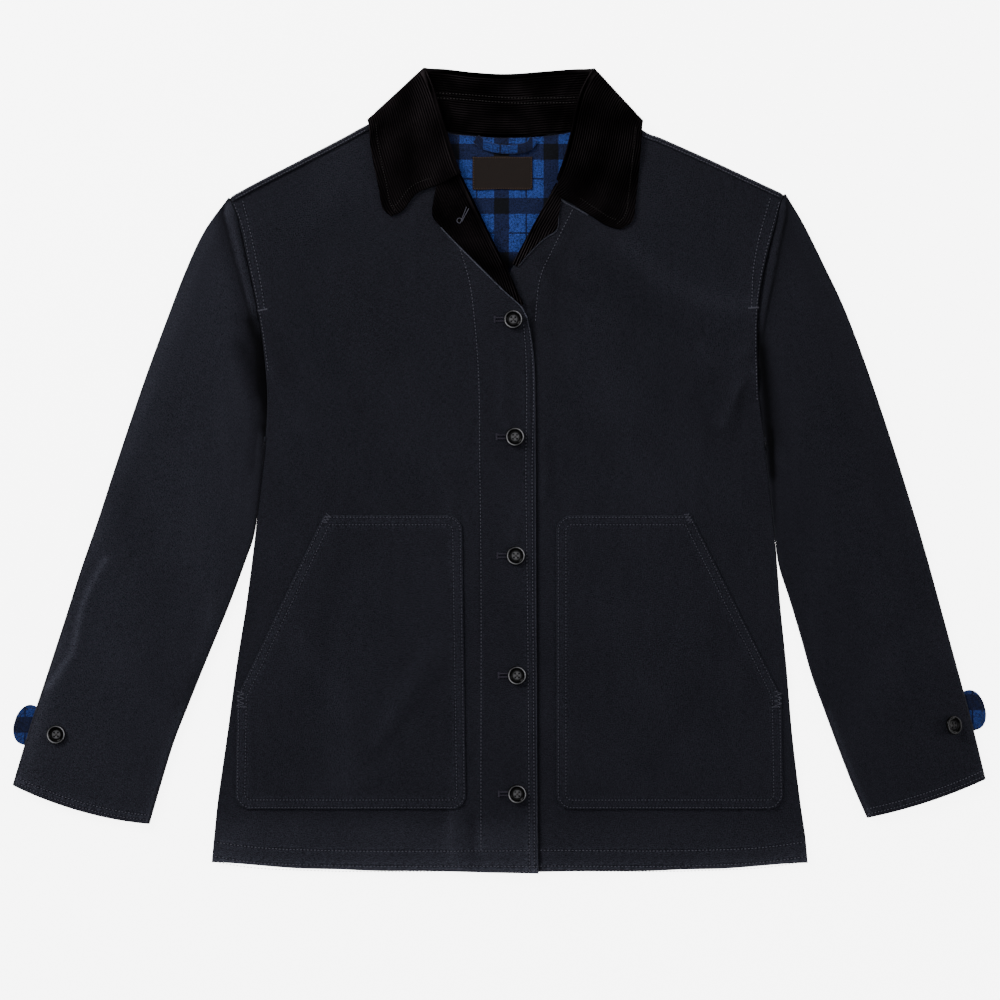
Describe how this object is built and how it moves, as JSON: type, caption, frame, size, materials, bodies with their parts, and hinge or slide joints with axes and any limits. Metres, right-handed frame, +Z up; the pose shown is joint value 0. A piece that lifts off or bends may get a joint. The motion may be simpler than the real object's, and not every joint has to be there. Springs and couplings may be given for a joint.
{
  "type": "barn coat",
  "caption": "Buttoned canvas barn coat with a corduroy collar, patch pockets and plaid flannel lining at the neck, laid flat on its back.",
  "frame": {"origin": "centre of the laid-out coat's bounding box, on the table under it", "axes": "+X towards the wearer's left sleeve, +Y towards the collar, +Z up from the table, out of the coat's front"},
  "size_m": [0.9747, 0.8056, 0.0186],
  "materials": {
    "canvas": "matt washed cotton duck, very dark navy",
    "corduroy": "matt black corduroy, wales along the collar",
    "flannel": "brushed blue and black plaid",
    "button": "polished black",
    "label": "matt tape, bare"
  },
  "bodies": {
    "root": {"back_panel": "canvas", "front_panel_right": "canvas", "front_panel_left": "canvas", "sleeve_right": "canvas", "sleeve_left": "canvas", "pocket_right": "canvas", "pocket_left": "canvas", "collar": "corduroy", "facing_right": "corduroy", "facing_left": "corduroy", "back_neck_lining": "flannel", "locker_loop": "flannel", "cuff_tab_right": "flannel", "cuff_tab_left": "flannel", "neck_label": "label", "button_front_1": "button", "button_front_2": "button", "button_front_3": "button", "button_front_4": "button", "button_front_5": "button", "button_cuff_right": "button", "button_cuff_left": "button"}
  },
  "joints": []
}
